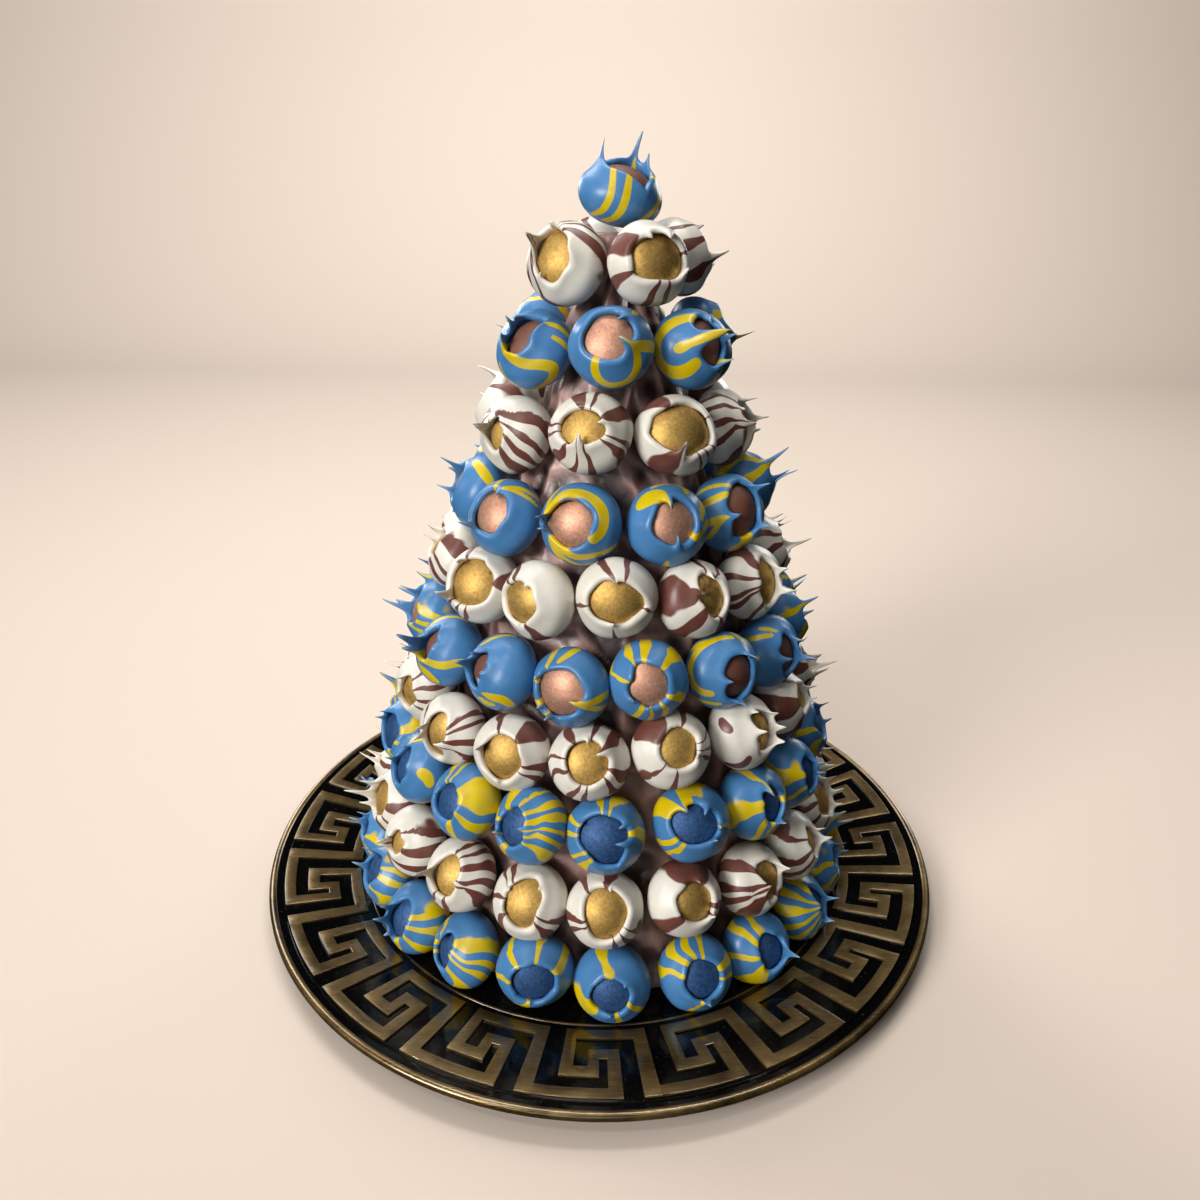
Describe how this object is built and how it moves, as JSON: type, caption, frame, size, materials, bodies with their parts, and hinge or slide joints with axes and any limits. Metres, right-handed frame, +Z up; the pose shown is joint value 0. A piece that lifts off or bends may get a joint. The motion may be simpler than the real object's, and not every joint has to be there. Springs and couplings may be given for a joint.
{
  "type": "chocolate bonbon tower",
  "caption": "Conical tower of marbled, open-mouthed chocolate shells set in rings on a satin-wrapped cone, standing on a black charger plate with a gold key border.",
  "frame": {"origin": "middle of the plate's flat underside, on the surface it stands on", "axes": "+Z up along the tower, -Y towards the front"},
  "size_m": [0.33, 0.33, 0.3368],
  "materials": {
    "blue_shell": "blue white-chocolate shell with poured yellow streaks, satin gloss",
    "white_shell": "white-chocolate shell with poured milk-chocolate streaks, satin gloss",
    "gold_filling": "chocolate filling brushed with gold lustre dust",
    "copper_filling": "chocolate filling brushed with copper lustre dust",
    "navy_filling": "chocolate filling brushed with dark blue lustre dust",
    "satin_wrap": "mauve satin, pleated and crinkled",
    "plate_black": "black gloss lacquer",
    "plate_gold": "brushed antique-gold paint on the raised key pattern and edges"
  },
  "bodies": {
    "root": {"plate": "plate_black", "wrapped_cone": "satin_wrap", "bonbon_top": "blue_shell", "bonbon_01_01": "white_shell", "bonbon_01_02": "white_shell", "bonbon_01_03": "white_shell", "bonbon_01_04": "white_shell", "bonbon_02_01": "blue_shell", "bonbon_02_02": "blue_shell", "bonbon_02_03": "blue_shell", "bonbon_02_04": "blue_shell", "bonbon_02_05": "blue_shell", "bonbon_02_06": "blue_shell", "bonbon_03_01": "white_shell", "bonbon_03_02": "white_shell", "bonbon_03_03": "white_shell", "bonbon_03_04": "white_shell", "bonbon_03_05": "white_shell", "bonbon_03_06": "white_shell", "bonbon_03_07": "white_shell", "bonbon_03_08": "white_shell", "bonbon_04_01": "blue_shell", "bonbon_04_02": "blue_shell", "bonbon_04_03": "blue_shell", "bonbon_04_04": "blue_shell", "bonbon_04_05": "blue_shell", "bonbon_04_06": "blue_shell", "bonbon_04_07": "blue_shell", "bonbon_04_08": "blue_shell", "bonbon_04_09": "blue_shell", "bonbon_04_10": "blue_shell", "bonbon_05_01": "white_shell", "bonbon_05_02": "white_shell", "bonbon_05_03": "white_shell", "bonbon_05_04": "white_shell", "bonbon_05_05": "white_shell", "bonbon_05_06": "white_shell", "bonbon_05_07": "white_shell", "bonbon_05_08": "white_shell", "bonbon_05_09": "white_shell", "bonbon_05_10": "white_shell", "bonbon_05_11": "white_shell", "bonbon_05_12": "white_shell", "bonbon_05_13": "white_shell", "bonbon_ring_06": "blue_shell", "bonbon_ring_07": "white_shell", "bonbon_ring_08": "blue_shell", "bonbon_ring_09": "white_shell", "bonbon_ring_10": "blue_shell"}
  },
  "joints": []
}
